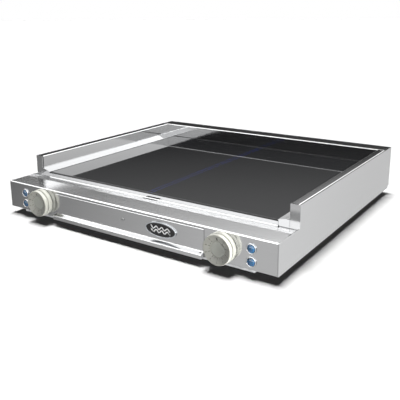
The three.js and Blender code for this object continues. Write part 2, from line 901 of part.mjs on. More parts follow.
for (const [name, side] of Object.entries({ left: -1, right: 1 })) {
  add(`${name}_knob_collar`, 'creamPlastic', knobCollar(side * knobX));
  add(`${name}_knob_body`, 'creamPlastic', knobBody(side * knobX));
  add(`${name}_knob_cap`, 'greyPlastic', knobCap(side * knobX));
  add(`${name}_knob_shaft`, 'galvanisedSteel', knobShaft(side * knobX));
  add(`${name}_regulator`, 'blackPlastic', regulator(side * knobX));
  for (const [level, z] of Object.entries(lampHeights)) {
    add(`${name}_${level}_lamp_bezel`, 'chrome', lampBezel([side * lampX, z]));
    add(`${name}_${level}_lamp_lens`, 'blueLens', lampLens([side * lampX, z]));
  }
  add(`${name}_induction_coil`, 'copper', inductionCoil(side * zoneX));
  add(`${name}_coil_carrier`, 'aluminium', coilCarrier(side * zoneX));
  add(`${name}_power_board`, 'circuitBoard', powerBoard(side));
  add(`${name}_heat_sink`, 'aluminium', heatSink(side));
  add(`${name}_fan_frame`, 'blackPlastic', fanFrame(side * zoneX));
  add(`${name}_fan_rotor`, 'blackPlastic', fanRotor(side * zoneX));
  for (const [end, y] of Object.entries(footDepths)) {
    add(`${name}_${end}_foot`, 'blackRubber', foot(side * footX, y));
  }
}

add('filter_board', 'circuitBoard', filterBoard());
add('terminal_block', 'creamPlastic', terminalBlock());
add('cable_gland', 'blackPlastic', cableGland());
backScrewPlaces().forEach((place, i) => add(`back_screw_${i + 1}`, 'galvanisedSteel', backScrew(place)));

const frontEnd = -knobReach;
const backEnd = bodyDepth + glandReach;
body.position.set(0, -(frontEnd + backEnd) / 2, floorClearance);

const cooktop = new THREE.Group();
cooktop.add(body);

export default cooktop;
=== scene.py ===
"""The looks of a counter-top electric cooktop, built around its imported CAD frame.

Metres, +Z up, the front facing -Y. Profiles and print are written in millimetres.
"""

import json
import math

import bmesh
import bpy
from mathutils import Matrix, Vector

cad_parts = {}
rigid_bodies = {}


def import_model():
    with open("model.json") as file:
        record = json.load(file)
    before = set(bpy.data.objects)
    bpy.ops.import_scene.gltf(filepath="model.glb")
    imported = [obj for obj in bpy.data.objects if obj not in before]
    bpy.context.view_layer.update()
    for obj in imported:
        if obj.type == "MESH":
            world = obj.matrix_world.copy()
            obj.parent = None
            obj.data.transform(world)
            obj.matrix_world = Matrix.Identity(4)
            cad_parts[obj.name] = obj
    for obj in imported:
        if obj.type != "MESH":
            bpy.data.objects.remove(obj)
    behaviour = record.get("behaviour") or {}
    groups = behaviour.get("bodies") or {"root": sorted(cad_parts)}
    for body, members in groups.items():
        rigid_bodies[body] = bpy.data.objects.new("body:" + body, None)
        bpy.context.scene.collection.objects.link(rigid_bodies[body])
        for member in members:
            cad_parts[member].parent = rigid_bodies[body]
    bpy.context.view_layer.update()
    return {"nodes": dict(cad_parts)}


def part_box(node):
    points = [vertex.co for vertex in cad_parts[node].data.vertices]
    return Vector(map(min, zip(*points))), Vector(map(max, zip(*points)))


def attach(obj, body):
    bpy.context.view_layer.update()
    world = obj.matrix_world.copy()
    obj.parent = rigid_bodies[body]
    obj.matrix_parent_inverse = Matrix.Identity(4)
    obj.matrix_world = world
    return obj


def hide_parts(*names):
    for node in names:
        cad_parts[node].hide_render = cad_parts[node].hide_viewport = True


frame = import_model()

MM = 0.001
SIDES = ("left", "right")
LEVELS = ("lower", "upper")


# ---- Shader nodes ----


class Shader:
    """A new material and the few node calls that the materials below share."""

    def __init__(self, name):
        self.material = bpy.data.materials.new(name)
        self.material.use_nodes = True
        self.tree = self.material.node_tree
        self.surface = self.tree.nodes["Principled BSDF"]

    def node(self, kind, **settings):
        made = self.tree.nodes.new(kind)
        for key, value in settings.items():
            setattr(made, key, value)
        return made

    def join(self, output, target):
        self.tree.links.new(output, target)

    def set(self, **values):
        """Sets the surface's own sockets, such as Metallic or Coat_Weight."""
        for key, value in values.items():
            self.surface.inputs[key.replace("_", " ")].default_value = value

    def place(self, scale):
        """Object coordinates in metres, stretched by scale along each axis."""
        coordinates = self.node("ShaderNodeTexCoord")
        mapping = self.node("ShaderNodeMapping")
        mapping.inputs["Scale"].default_value = scale
        self.join(coordinates.outputs["Object"], mapping.inputs["Vector"])
        return mapping.outputs["Vector"]

    def noise(self, scale, detail=3.0, roughness=0.5):
        made = self.node("ShaderNodeTexNoise")
        made.inputs["Scale"].default_value = 1.0
        made.inputs["Detail"].default_value = detail
        made.inputs["Roughness"].default_value = roughness
        self.join(self.place(scale), made.inputs["Vector"])
        return made.outputs["Fac"]

    def spread(self, value, low, high, low_in=0.3, high_in=0.7):
        """A value between low_in and high_in, spread from low to high."""
        made = self.node("ShaderNodeMapRange")
        made.inputs["From Min"].default_value = low_in
        made.inputs["From Max"].default_value = high_in
        made.inputs["To Min"].default_value = low
        made.inputs["To Max"].default_value = high
        self.join(value, made.inputs["Value"])
        return made.outputs["Result"]

    def blend(self, factor, first, second):
        """The colour first where factor is 0 and second where it is 1."""
        made = self.node("ShaderNodeMix", data_type="RGBA")
        for socket, colour in ((made.inputs["A"], first), (made.inputs["B"], second)):
            if isinstance(colour, bpy.types.NodeSocket):
                self.join(colour, socket)
            else:
                socket.default_value = (*colour, 1.0)
        self.join(factor, made.inputs["Factor"])
        return made.outputs["Result"]

    def math(self, operation, *values):
        made = self.node("ShaderNodeMath", operation=operation)
        for socket, value in zip(made.inputs, values):
            if isinstance(value, bpy.types.NodeSocket):
                self.join(value, socket)
            else:
                socket.default_value = value
        return made.outputs["Value"]

    def colour(self, output):
        self.join(output, self.surface.inputs["Base Color"])

    def roughness(self, output):
        self.join(output, self.surface.inputs["Roughness"])

    def bump(self, height, distance, strength=1.0):
        made = self.node("ShaderNodeBump")
        made.inputs["Distance"].default_value = distance
        made.inputs["Strength"].default_value = strength
        self.join(height, made.inputs["Height"])
        self.join(made.outputs["Normal"], self.surface.inputs["Normal"])


# ---- Materials ----

BRUSH_FINE = 2600.0  # grain lines per metre across the brushing
BRUSH_LONG = 14.0  # and along it


def brushed_steel(name, grain_axis, tone=0.52, rough=0.15):
    """Stainless steel brushed along one axis: fine lines in colour, gloss and height, and soft clouding."""
    shader = Shader(name)
    shader.set(Metallic=1.0)
    stretch = [BRUSH_FINE] * 3
    stretch[grain_axis] = BRUSH_LONG
    lines = shader.noise(stretch, detail=4.0, roughness=0.65)
    clouds = shader.noise((7.0, 7.0, 7.0), detail=2.0)
    light = (tone, tone * 1.005, tone * 1.012)
    dark = tuple(part * 0.93 for part in light)
    shader.colour(shader.blend(shader.spread(lines, 0.0, 1.0), dark, light))
    fine = shader.spread(lines, rough - 0.02, rough + 0.03)
    shader.roughness(shader.math("ADD", fine, shader.spread(clouds, -0.01, 0.01)))
    shader.bump(lines, 0.002 * MM, 0.5)
    return shader.material


def cut_edge():
    """The raw edge that a laser leaves in the sheet, rough and finely striped, painted near black as shade
    inside the drain slot and slit.
    """
    shader = Shader("cut_edge")
    shader.set(Metallic=0.6)
    stripes = shader.noise((1500.0, 1500.0, 60.0), detail=3.0)
    # Painted shade: near black, darker than a cut steel edge, so the drain slot and slit read as shaded
    # holes
    dark, light = (0.006, 0.006, 0.007), (0.025, 0.024, 0.022)
    shader.colour(shader.blend(shader.spread(stripes, 0.0, 1.0), dark, light))
    shader.roughness(shader.spread(stripes, 0.6, 0.8))
    shader.bump(stripes, 0.02 * MM)
    return shader.material


def galvanised_steel():
    """Zinc-coated sheet: a soft crystal pattern and a dull surface."""
    shader = Shader("galvanised_steel")
    shader.set(Metallic=1.0)
    cells = shader.node("ShaderNodeTexVoronoi")
    cells.inputs["Scale"].default_value = 1.0
    shader.join(shader.place((110.0, 110.0, 110.0)), cells.inputs["Vector"])
    spangle = shader.spread(cells.outputs["Distance"], 0.0, 1.0, 0.0, 0.7)
    shader.colour(shader.blend(spangle, (0.44, 0.45, 0.46), (0.58, 0.59, 0.60)))
    shader.roughness(shader.spread(spangle, 0.34, 0.48, 0.0, 1.0))
    shader.bump(cells.outputs["Distance"], 0.02 * MM)
    return shader.material


def glass_ceramic():
    """Black glass-ceramic with two thin blue lines printed under its surface, and faint wiping marks."""
    shader = Shader("glass_ceramic")
    shader.set(IOR=1.5, Specular_IOR_Level=0.34)
    half_spacing = 4.2 * MM
    line_half = 0.45 * MM
    coordinates = shader.node("ShaderNodeTexCoord")
    split = shader.node("ShaderNodeSeparateXYZ")
    shader.join(coordinates.outputs["Object"], split.inputs["Vector"])
    from_middle = shader.math("ABSOLUTE", split.outputs["X"])
    from_line = shader.math("ABSOLUTE", shader.math("SUBTRACT", from_middle, half_spacing))
    printed = shader.spread(from_line, 1.0, 0.0, line_half, line_half * 1.5)
    speckle = shader.noise((4000.0, 4000.0, 4000.0), detail=2.0)
    black, charcoal = (0.007, 0.0075, 0.0085), (0.012, 0.0125, 0.014)
    ground = shader.blend(shader.spread(speckle, 0.0, 1.0), black, charcoal)
    shader.colour(shader.blend(printed, ground, (0.015, 0.03, 0.20)))
    wiping = shader.noise((5.0, 16.0, 5.0), detail=5.0, roughness=0.6)
    shader.roughness(shader.spread(wiping, 0.02, 0.06))
    return shader.material


def moulded_plastic(name, light, dark, rough, coat=0.0, grain=0.004):
    """Moulded plastic: a slight mottle, uneven gloss and a very fine skin texture."""
    shader = Shader(name)
    shader.set(IOR=1.49, Coat_Weight=coat, Coat_Roughness=0.12)
    mottle = shader.noise((60.0, 60.0, 60.0), detail=4.0)
    skin = shader.noise((2500.0, 2500.0, 2500.0), detail=2.0)
    shader.colour(shader.blend(shader.spread(mottle, 0.0, 1.0), dark, light))
    shader.roughness(shader.spread(mottle, rough - 0.04, rough + 0.05))
    shader.bump(skin, grain * MM)
    return shader.material


def rubber(name):
    """Matt black rubber with a fine grain and a little grey bloom."""
    shader = Shader(name)
    shader.set(IOR=1.45)
    bloom = shader.noise((90.0, 90.0, 90.0), detail=5.0)
    dark, light = (0.010, 0.010, 0.010), (0.022, 0.022, 0.023)
    shader.colour(shader.blend(shader.spread(bloom, 0.0, 1.0), dark, light))
    shader.roughness(shader.spread(bloom, 0.5, 0.68))
    shader.bump(shader.noise((1800.0, 1800.0, 1800.0)), 0.02 * MM)
    return shader.material


def chrome():
    """Polished chrome with faint polishing marks."""
    shader = Shader("chrome_trim")
    shader.set(Metallic=1.0)
    marks = shader.noise((900.0, 900.0, 60.0), detail=4.0)
    shader.colour(shader.blend(shader.spread(marks, 0.0, 1.0), (0.50, 0.52, 0.54), (0.58, 0.60, 0.62)))
    shader.roughness(shader.spread(marks, 0.06, 0.14))
    return shader.material


def blue_lens():
    """A clear blue lamp lens, with painted shade darkening its blue towards the rim as it turns from view,
    and painted glints of lighter blue over its moulded inside.
    """
    shader = Shader("blue_lens")
    shader.set(IOR=1.5, Coat_Weight=0.8, Coat_Roughness=0.03, Subsurface_Weight=0.15)
    facing = shader.node("ShaderNodeLayerWeight")
    facing.inputs["Blend"].default_value = 0.45
    prisms = shader.node("ShaderNodeTexVoronoi")
    prisms.inputs["Scale"].default_value = 1.0
    shader.join(shader.place((520.0, 520.0, 520.0)), prisms.inputs["Vector"])
    # Painted shade: the blue darkens where the lens turns away from view
    body = shader.blend(facing.outputs["Facing"], (0.006, 0.11, 0.27), (0.002, 0.03, 0.11))
    # Painted glints: lighter blue patches in the moulded prisms
    painted_glints = shader.spread(prisms.outputs["Distance"], 0.55, 0.0, 0.0, 0.6)
    shader.colour(shader.blend(painted_glints, body, (0.02, 0.20, 0.42)))
    shader.roughness(shader.spread(prisms.outputs["Distance"], 0.08, 0.16, 0.0, 0.8))
    return shader.material


def wound_copper():
    """A flat coil of lacquered stranded wire: rings of twisted strands."""
    shader = Shader("coil_copper")
    shader.set(Metallic=0.9, Coat_Weight=0.5)
    twist = shader.noise((700.0, 700.0, 700.0), detail=3.0)
    shader.colour(shader.blend(shader.spread(twist, 0.0, 1.0), (0.30, 0.10, 0.04), (0.62, 0.27, 0.12)))
    shader.roughness(shader.spread(twist, 0.25, 0.45))
    shader.bump(twist, 0.3 * MM)
    return shader.material


def circuit_board():
    """Green solder mask over copper tracks."""
    shader = Shader("circuit_board")
    shader.set(Coat_Weight=0.3)
    tracks = shader.noise((160.0, 45.0, 60.0), detail=1.0)
    over_bare_board, over_track = (0.010, 0.07, 0.03), (0.02, 0.13, 0.05)
    shader.colour(shader.blend(shader.spread(tracks, 0.0, 1.0, 0.48, 0.52), over_bare_board, over_track))
    shader.roughness(shader.spread(tracks, 0.3, 0.42))
    shader.bump(tracks, 0.05 * MM)
    return shader.material


def make_materials():
    x_axis, y_axis = 0, 1
    polish = 0.07
    return {
        "steel_x": brushed_steel("brushed_steel_along_x", x_axis),
        "steel_y": brushed_steel("brushed_steel_along_y", y_axis),
        "polished_x": brushed_steel("polished_steel_along_x", x_axis, rough=polish),
        "polished_y": brushed_steel("polished_steel_along_y", y_axis, rough=polish),
        "rivet": brushed_steel("rivet_steel", x_axis, tone=0.22, rough=0.32),
        "aluminium": brushed_steel("mill_aluminium", y_axis, tone=0.66, rough=0.36),
        "cut_edge": cut_edge(),
        "galvanised": galvanised_steel(),
        "glass": glass_ceramic(),
        "chrome": chrome(),
        "lens": blue_lens(),
        "copper": wound_copper(),
        "board": circuit_board(),
        "seal": rubber("silicone_seal"),
        "rubber": rubber("foot_rubber"),
        **make_plastics(),
    }


def make_plastics():
    """Each moulded plastic with its light and dark tone and its roughness."""
    return {
        "cream": moulded_plastic(
            "knob_cream", (0.52, 0.52, 0.465), (0.46, 0.46, 0.41), 0.34, coat=0.05),
        # Painted shade: the knob's own cream made darker, for the dished dial face
        "dial": moulded_plastic("dial_cream_painted_shade", (0.34, 0.34, 0.30), (0.29, 0.29, 0.26), 0.42),
        "grey": moulded_plastic(
            "knob_grey", (0.42, 0.43, 0.385), (0.37, 0.38, 0.34), 0.34, coat=0.1),
        "black": moulded_plastic(
            "black_plastic", (0.020, 0.020, 0.021), (0.012, 0.012, 0.013), 0.42),
        "enamel": moulded_plastic(
            "badge_enamel", (0.012, 0.012, 0.013), (0.008, 0.008, 0.009), 0.22),
        "print_dark": moulded_plastic(
            "dial_print", (0.035, 0.035, 0.03), (0.02, 0.02, 0.018), 0.45),
        "print_light": moulded_plastic("badge_print", (0.93, 0.93, 0.93), (0.86, 0.86, 0.86), 0.35),
        "ceramic": moulded_plastic(
            "terminal_ceramic", (0.66, 0.64, 0.56), (0.58, 0.56, 0.49), 0.55),
    }


# ---- CAD nodes: finish and softened edges ----


def finishes_of_nodes():
    """The material of every CAD node, by the end of its name."""
    return {
        "front_console": "steel_x",
        "side_panel": "steel_y",
        "back_panel": "steel_x",
        "guard_liner": "polished_y",
        "back_guard_liner": "polished_x",
        "glass_trim": "polished_y",
        "tray_front": "steel_x",
        "tray_pan": "steel_x",
        "tray_runner": "galvanised",
        "tray_rivet": "galvanised",
        "base_plate": "galvanised",
        "glass_plate": "glass",
        "glass_seal": "seal",
        "badge_rim": "chrome",
        "badge_plate": "enamel",
        "knob_collar": "cream",
        "knob_body": "cream",
        "knob_cap": "grey",
        "knob_shaft": "galvanised",
        "regulator": "black",
        "lamp_bezel": "chrome",
        "lamp_lens": "lens",
        "induction_coil": "copper",
        "coil_carrier": "aluminium",
        "heat_sink": "aluminium",
        "power_board": "board",
        "filter_board": "board",
        "fan_frame": "black",
        "fan_rotor": "black",
        "foot": "rubber",
        "terminal_block": "ceramic",
        "cable_gland": "black",
        "back_screw": "galvanised",
    }


def finish_of(node):
    """The longest entry that the node's name contains."""
    matches = [part for part in finishes_of_nodes() if part in node]
    return finishes_of_nodes()[max(matches, key=len)]


def dress(obj, material):
    obj.data.materials.clear()
    obj.data.materials.append(material)


def soften(obj, width, segments=2, angle=28):
    """Rounds an object's sharp edges, as a press or a mould leaves them, and keeps its flat faces flat."""
    weld = obj.modifiers.new("weld", "WELD")
    weld.merge_threshold = 0.01 * MM
    flat = obj.modifiers.new("whole_faces", "DECIMATE")
    flat.decimate_type = "DISSOLVE"
    flat.angle_limit = math.radians(0.5)
    bevel = obj.modifiers.new("soft_edges", "BEVEL")
    bevel.width = width
    bevel.segments = segments
    bevel.limit_method = "ANGLE"
    bevel.angle_limit = math.radians(angle)
    bevel.use_clamp_overlap = True
    shading = obj.modifiers.new("even_shading", "WEIGHTED_NORMAL")
    shading.mode = "FACE_AREA"
    shading.weight = 100
    obj.data.shade_smooth()


EDGES = {  # width of the softened edges and the smallest fold, in degrees, that gets one
    "front_console": (0.2 * MM, 5),
    "glass_plate": (0.25 * MM, 28),
    "glass_trim": (0.2 * MM, 10),
    "side_panel": (0.2 * MM, 28),
    "tray_front": (0.15 * MM, 28),
    "": (0.3 * MM, 28),
}


def finish_cad_nodes(materials):
    for name, obj in frame["nodes"].items():
        dress(obj, materials[finish_of(name)])
        width, fold = next(edge for part, edge in EDGES.items() if part in name)
        soften(obj, width, angle=fold)
    # Painted shade in the drain slot and slit: near-black cut edges
    darken_drain(materials["cut_edge"])


def darken_drain(material):
    """Paints shade on the cut edges of the gutter's drain slot and overflow slit, with the near-black cut
    edge finish.
    """
    drain_x = 8 * MM
    half_length = 18 * MM
    slit_front, slot_back = 40 * MM, 72 * MM  # behind the fascia's face
    largest_edge = 80 * MM * MM
    console = frame["nodes"]["front_console"]
    console.data.materials.append(material)
    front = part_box("front_console")[0].y
    for face in console.data.polygons:
        middle = console.matrix_world @ face.center
        in_gutter = slit_front < middle.y - front < slot_back
        near_slot = abs(middle.x - drain_x) < half_length
        upright = abs(face.normal.z) < 0.9
        if in_gutter and near_slot and upright and face.area < largest_edge:
            face.material_index = 1


# ---- Mesh building ----


def add_mesh(name, mesh, material):
    obj = bpy.data.objects.new(name, mesh)
    bpy.context.scene.collection.objects.link(obj)
    obj.data.materials.append(material)
    return obj


def mesh_from(builder, name):
    mesh = bpy.data.meshes.new(name)
    builder.normal_update()
    builder.to_mesh(mesh)
    builder.free()
    return mesh


def add_ring(builder, radius, height, segments):
    """The vertices of a level circle, or the one vertex of a point on the axis."""
    if radius == 0:
        return [builder.verts.new((0.0, 0.0, height))]
    angles = [2 * math.pi * step / segments for step in range(segments)]
    return [builder.verts.new((radius * math.cos(a), radius * math.sin(a), height)) for a in angles]


def turned_mesh(name, profile, segments=96):
    """A turned solid from (radius, height) points round Z, closed on the axis or on its first point."""
    builder = bmesh.new()
    rings = [add_ring(builder, radius, height, segments) for radius, height in profile]
    if profile[0] == profile[-1]:
        for vertex in rings.pop():
            builder.verts.remove(vertex)
        rings.append(rings[0])
    for lower, upper in zip(rings, rings[1:]):
        join_rings(builder, lower, upper)
    bmesh.ops.recalc_face_normals(builder, faces=builder.faces)
    return mesh_from(builder, name)


def join_rings(builder, lower, upper):
    count = max(len(lower), len(upper))
    for step in range(count):
        ahead = (step + 1) % count
        corners = [
            lower[step % len(lower)],
            lower[ahead % len(lower)],
            upper[ahead % len(upper)],
            upper[step % len(upper)],
        ]
        builder.faces.new(list(dict.fromkeys(corners)))


def facing_front(centre):
    """The transform that turns a piece made along +Z to face -Y at centre, with its own +Y up."""
    return Matrix.Translation(centre) @ Matrix.Rotation(math.radians(90), 4, "X")


def facing_back(centre):
    return Matrix.Translation(centre) @ Matrix.Rotation(math.radians(-90), 4, "X")


def middle_of(node):
    low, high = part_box(node)
    return (low + high) / 2


def millimetres(profile):
    return [(radius * MM, height * MM) for radius, height in profile]


def stand_for(node, mesh, place, material, edge=0.3 * MM, segments=3):
    """A finer mesh in place of a CAD node, riding on the node's own body."""
    piece = add_mesh(f"{node}_fine", mesh, material)
    piece.data.transform(place)
    soften(piece, edge, segments)
    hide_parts(node)
    return piece


# ---- Knobs ----

KNOB_REACH = 18.6  # all in millimetres, heights measured out of the fascia
COLLAR_REACH = 8.8
DISH_DEPTH = 4.5
DISH_RIM = 24.4
CAP_RADIUS = 13.0
GAP = 0.3  # clearance left between neighbouring pieces


def dish_height(radius):
    """Height of the knob's dished face, in millimetres."""
    return KNOB_REACH - DISH_DEPTH * (DISH_RIM - radius) / (DISH_RIM - CAP_RADIUS)


def knob_axis(side):
    """The point where a knob's axis meets the fascia."""
    middle = middle_of(f"{side}_knob_body")
    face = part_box("front_console")[0].y
    return Vector((middle.x, face, middle.z))


def knob_body_profile():
    back = COLLAR_REACH + GAP
    bore = 3.0 + GAP
    well = CAP_RADIUS + GAP
    well_floor = KNOB_REACH - DISH_DEPTH - 2.1
    skirt = [(23.6, back), (23.6, back + 1.2), (25.5, back + 1.8), (26.0, back + 2.8)]
    rim = [(26.0, KNOB_REACH - 1.6), (25.6, KNOB_REACH - 0.5), (25.0, KNOB_REACH), (DISH_RIM, KNOB_REACH)]
    face = [(well, dish_height(well)), (well, well_floor), (bore, well_floor)]
    return [(bore, back), *skirt, *rim, *face, (bore, back)]


def knob_cap_profile():
    top = KNOB_REACH - DISH_DEPTH + GAP
    bottom = top - 2.1
    edge = 0.5
    return [(0, bottom), (CAP_RADIUS, bottom), (CAP_RADIUS, top - edge), (CAP_RADIUS - edge, top), (0, top)]


def collar_profile():
    bore, radius, edge = 8, 26.6, 1
    return [
        (bore, GAP),
        (radius - 0.6, GAP),
        (radius, 1),
        (radius, COLLAR_REACH - edge),
        (radius - edge, COLLAR_REACH),
        (bore, COLLAR_REACH),
        (bore, GAP),
    ]


def dial_place(angle, radius):
    """A transform from flat print to the dished face, at a clock angle from the top and a radius."""
    print_height = 0.04
    slope = math.atan2(DISH_DEPTH, DISH_RIM - CAP_RADIUS)
    lift = Vector((0, radius * MM, (dish_height(radius) + print_height) * MM))
    turn = Matrix.Rotation(-angle, 4, "Z")
    return turn @ Matrix.Translation(lift) @ Matrix.Rotation(slope, 4, "X")


def add_bar(builder, place, width, length, thickness=0.08):
    """A thin printed bar, centred, along its own Y."""
    size = Matrix.Diagonal((width * MM, length * MM, thickness * MM, 1))
    bmesh.ops.create_cube(builder, size=1.0, matrix=place @ size)


def add_numeral(builder, text, place, height):
    curve = bpy.data.curves.new("numeral", "FONT")
    curve.body = text
    curve.size = height * MM
    curve.align_x = "CENTER"
    curve.align_y = "CENTER"
    curve.extrude = 0.04 * MM
    curve.resolution_u = 3
    source = bpy.data.objects.new("numeral", curve)
    mesh = bpy.data.meshes.new_from_object(source)
    mesh.transform(place)
    builder.from_mesh(mesh)
    bpy.data.objects.remove(source)
    bpy.data.curves.remove(curve)
    bpy.data.meshes.remove(mesh)


def dial_marks(name, axis_point, material):
    """The scale printed on a knob: a numeral and a tick for each of nine heats, and the mark for off."""
    heats = 9
    first, last = math.radians(40), math.radians(320)
    pitch = (last - first) / (heats - 1)
    tick_radius, half_tick_radius, numeral_radius, off_radius = 15.8, 15.0, 20.6, 18.4
    builder = bmesh.new()
    for heat in range(1, heats + 1):
        angle = first + pitch * (heat - 1)
        add_bar(builder, dial_place(angle, tick_radius), 0.7, 3.6)
        add_numeral(builder, str(heat), dial_place(angle, numeral_radius), 4.6)
        if heat < heats:
            add_bar(builder, dial_place(angle + pitch / 2, half_tick_radius), 0.4, 2.0)
    add_bar(builder, dial_place(0, off_radius), 2.0, 5.6)
    marks = add_mesh(name, mesh_from(builder, name), material)
    marks.data.transform(facing_front(axis_point))
    return marks


def tint_dial(knob, material):
    """Paints shade on the dished face that carries the scale: the knob's own cream, made darker."""
    narrow_edge = 0.5 * MM * MM
    knob.data.materials.append(material)
    for face in knob.data.polygons:
        faces_the_cook = face.normal.y < -0.5
        if faces_the_cook and face.area > narrow_edge:
            face.material_index = 1


def make_knob(side, materials):
    axis_point = knob_axis(side)
    place = facing_front(axis_point)
    parts = {
        "knob_collar": (collar_profile(), "cream"),
        "knob_body": (knob_body_profile(), "cream"),
        "knob_cap": (knob_cap_profile(), "grey"),
    }
    for part, (profile, finish) in parts.items():
        node = f"{side}_{part}"
        piece = stand_for(node, turned_mesh(node, millimetres(profile)), place, materials[finish])
        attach(piece, "housing" if part == "knob_collar" else f"{side}_knob")
        # The dial face gets painted shade, a darker copy of the knob's cream
        if part == "knob_body":
            tint_dial(piece, materials["dial"])
    marks = dial_marks(f"{side}_dial_marks", axis_point, materials["print_dark"])
    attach(marks, f"{side}_knob")


# ---- Pilot lamps ----


def bezel_profile():
    """A tube behind the fascia and a rounded flange in front of it."""
    bore, tube, flange, depth = 7.1, 7.5, 9, 8
    crown = [(flange, 1.2), (8.8, 1.8), (8.4, 2.15), (7.7, 2.2), (7.2, 1.9), (bore, 1.4)]
    return [(bore, -depth), (tube, -depth), (tube, GAP), (flange, GAP), *crown, (bore, -depth)]


def lens_profile():
    """A cylinder with a domed top."""
    depth, rim, crown, radius = 8, 1.5, 4.0, 6.8
    steps = 8
    arc = [math.radians(90 * step / steps) for step in range(steps)]
    dome = [(radius * math.cos(a), rim + (crown - rim) * math.sin(a)) for a in arc]
    return [(0, -depth), (radius, -depth), *dome, (0, crown)]


def make_lamp(side, level, materials):
    middle = middle_of(f"{side}_{level}_lamp_lens")
    place = facing_front(Vector((middle.x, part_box("front_console")[0].y, middle.z)))
    parts = {
        "bezel": (bezel_profile(), "chrome", "chrome_trim"),
        "lens": (lens_profile(), "lens", "blue_lens"),
    }
    for part, (profile, finish, record_slot) in parts.items():
        node = f"{side}_{level}_lamp_{part}"
        mesh = turned_mesh(node, millimetres(profile), 48)
        piece = stand_for(node, mesh, place, materials[finish], 0.12 * MM, 2)
        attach(piece, "housing")


# ---- Feet, screws and the tray's rivet ----


def foot_profile(height):
    """A round foot with a groove in its sole and a neck above its rounded shoulder."""
    sole = [(12.5, 0), (13, 0.8), (14, 0.8), (14.5, 0), (15.4, 0.1), (16.3, 0.7), (16.5, 1.6)]
    shoulder = [(16.5, 7.4), (15.9, 8.3), (15, 9)]
    return [(0, 0), *sole, *shoulder, (15, height), (0, height)]


def make_foot(side, end, materials):
    node = f"{side}_{end}_foot"
    low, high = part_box(node)
    middle = (low + high) / 2
    mesh = turned_mesh(node, millimetres(foot_profile((high.z - low.z) / MM)), 64)
    place = Matrix.Translation((middle.x, middle.y, low.z))
    piece = stand_for(node, mesh, place, materials["rubber"], 0.2 * MM, 2)
    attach(piece, "housing")


def screw_mesh(name, head_radius, head_height, shank_radius, shank_length, socket_radius=0.0):
    """A round-headed fastener along +Z, with a round socket in its head if it has one."""
    steps = 6
    arc = [math.radians(90 * step / steps) for step in range(steps)]
    dome = [(head_radius * math.cos(a), GAP + (head_height - GAP) * math.sin(a)) for a in arc]
    crown = [point for point in dome if point[0] > socket_radius]
    shank = [(0, -shank_length), (shank_radius, -shank_length), (shank_radius, GAP)]
    socket_floor = head_height * 0.4 if socket_radius else head_height
    socket = [(socket_radius, head_height), (socket_radius, socket_floor)] if socket_radius else []
    return turned_mesh(name, millimetres([*shank, *crown, *socket, (0, socket_floor)]), 30)


def make_screws(materials):
    for number in range(1, 5):
        node = f"back_screw_{number}"
        middle = middle_of(node)
        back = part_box("back_panel")[1].y
        mesh = screw_mesh(node, 4.0, 2.4, 1.9, 8.0, socket_radius=1.4)
        place = facing_back(Vector((middle.x, back, middle.z)))
        piece = stand_for(node, mesh, place, materials["galvanised"], 0.1 * MM, 2)
        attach(piece, "housing")


def make_rivet(materials):
    middle = middle_of("tray_rivet")
    mesh = screw_mesh("tray_rivet", 3.0, 1.9, 1.6, 4.0)
    place = facing_front(Vector((middle.x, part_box("front_console")[0].y, middle.z)))
    piece = stand_for("tray_rivet", mesh, place, materials["rivet"], 0.08 * MM, 2)
    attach(piece, "tray")


# ---- Badge ----


def badge_plate_mesh(half_width, half_height, thickness):
    """A slightly domed oval plate: a turned plate of unit radius, drawn out."""
    steps = 10
    crown = 0.45 * MM
    rim = thickness - crown
    arc = [math.radians(90 * step / steps) for step in range(steps)]
    dome = [(math.cos(a), rim + crown * math.sin(a)) for a in arc]
    mesh = turned_mesh("badge_plate", [(0, 0), (1.0, 0), *dome, (0, thickness)])
    mesh.transform(Matrix.Diagonal((half_width, half_height, 1.0, 1.0)))
    return mesh


def wave_mark(name, place, material):
    """A plain mark of two heat waves in place of lettering."""
    waves, length, swing, stroke = 3.5, 42.0, 2.3, 2.1
    row_height = 3.0
    steps = 96
    builder = bmesh.new()
    for row in (-1, 1):
        edges = []
        for step in range(steps + 1):
            share = step / steps - 0.5
            phase = 2 * math.pi * waves * share
            heading = math.atan2(swing * 2 * math.pi * waves * math.cos(phase) / length, 1)
            across = Vector((-math.sin(heading), math.cos(heading), 0)) * stroke / 2
            point = Vector((share * length, row * row_height + swing * math.sin(phase), 0))
            edges.append([builder.verts.new((point + side * across) * MM) for side in (-1, 1)])
        for (a, b), (c, d) in zip(edges, edges[1:]):
            builder.faces.new((a, c, d, b))
    mark = add_mesh(name, mesh_from(builder, name), material)
    thicken = mark.modifiers.new("thickness", "SOLIDIFY")
    thicken.thickness = 0.15 * MM
    thicken.offset = 1.0
    mark.data.transform(place)
    return mark


def make_badge(materials):
    low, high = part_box("badge_plate")
    middle = (low + high) / 2
    place = facing_front(Vector((middle.x, high.y, middle.z)))
    mesh = badge_plate_mesh((high.x - low.x) / 2, (high.z - low.z) / 2, high.y - low.y)
    plate = stand_for("badge_plate", mesh, place, materials["enamel"], 0.1 * MM, 2)
    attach(plate, "tray")
    front = facing_front(Vector((middle.x, low.y, middle.z)))
    mark = wave_mark("badge_mark", front, materials["print_light"])
    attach(mark, "tray")


# ---- Floor, light and camera ----

STUDIO_PEAK = 3.4
SKY_TONES = (  # height of the direction above the horizon, and the studio's tone there
    (0.0, 0.33), (0.09, 0.33), (0.14, 0.014), (0.22, 0.014), (0.27, 0.06), (0.35, 0.155), (0.40, 0.21),
    (0.43, 1.0), (0.86, 1.0), (0.95, 0.35),
)
FLOOR_TONES = (  # from the left to the right
    (0.10, 0.053), (0.115, 0.074), (0.155, 0.139), (0.195, 0.181), (0.26, 0.246), (0.5, 0.239),
    (0.63, 0.239), (0.70, 0.33),
)


def spare_the_floor():
    """Keeps the steel from throwing light back into its own shadow on the floor."""
    for obj in bpy.context.scene.objects:
        obj.visible_diffuse = False


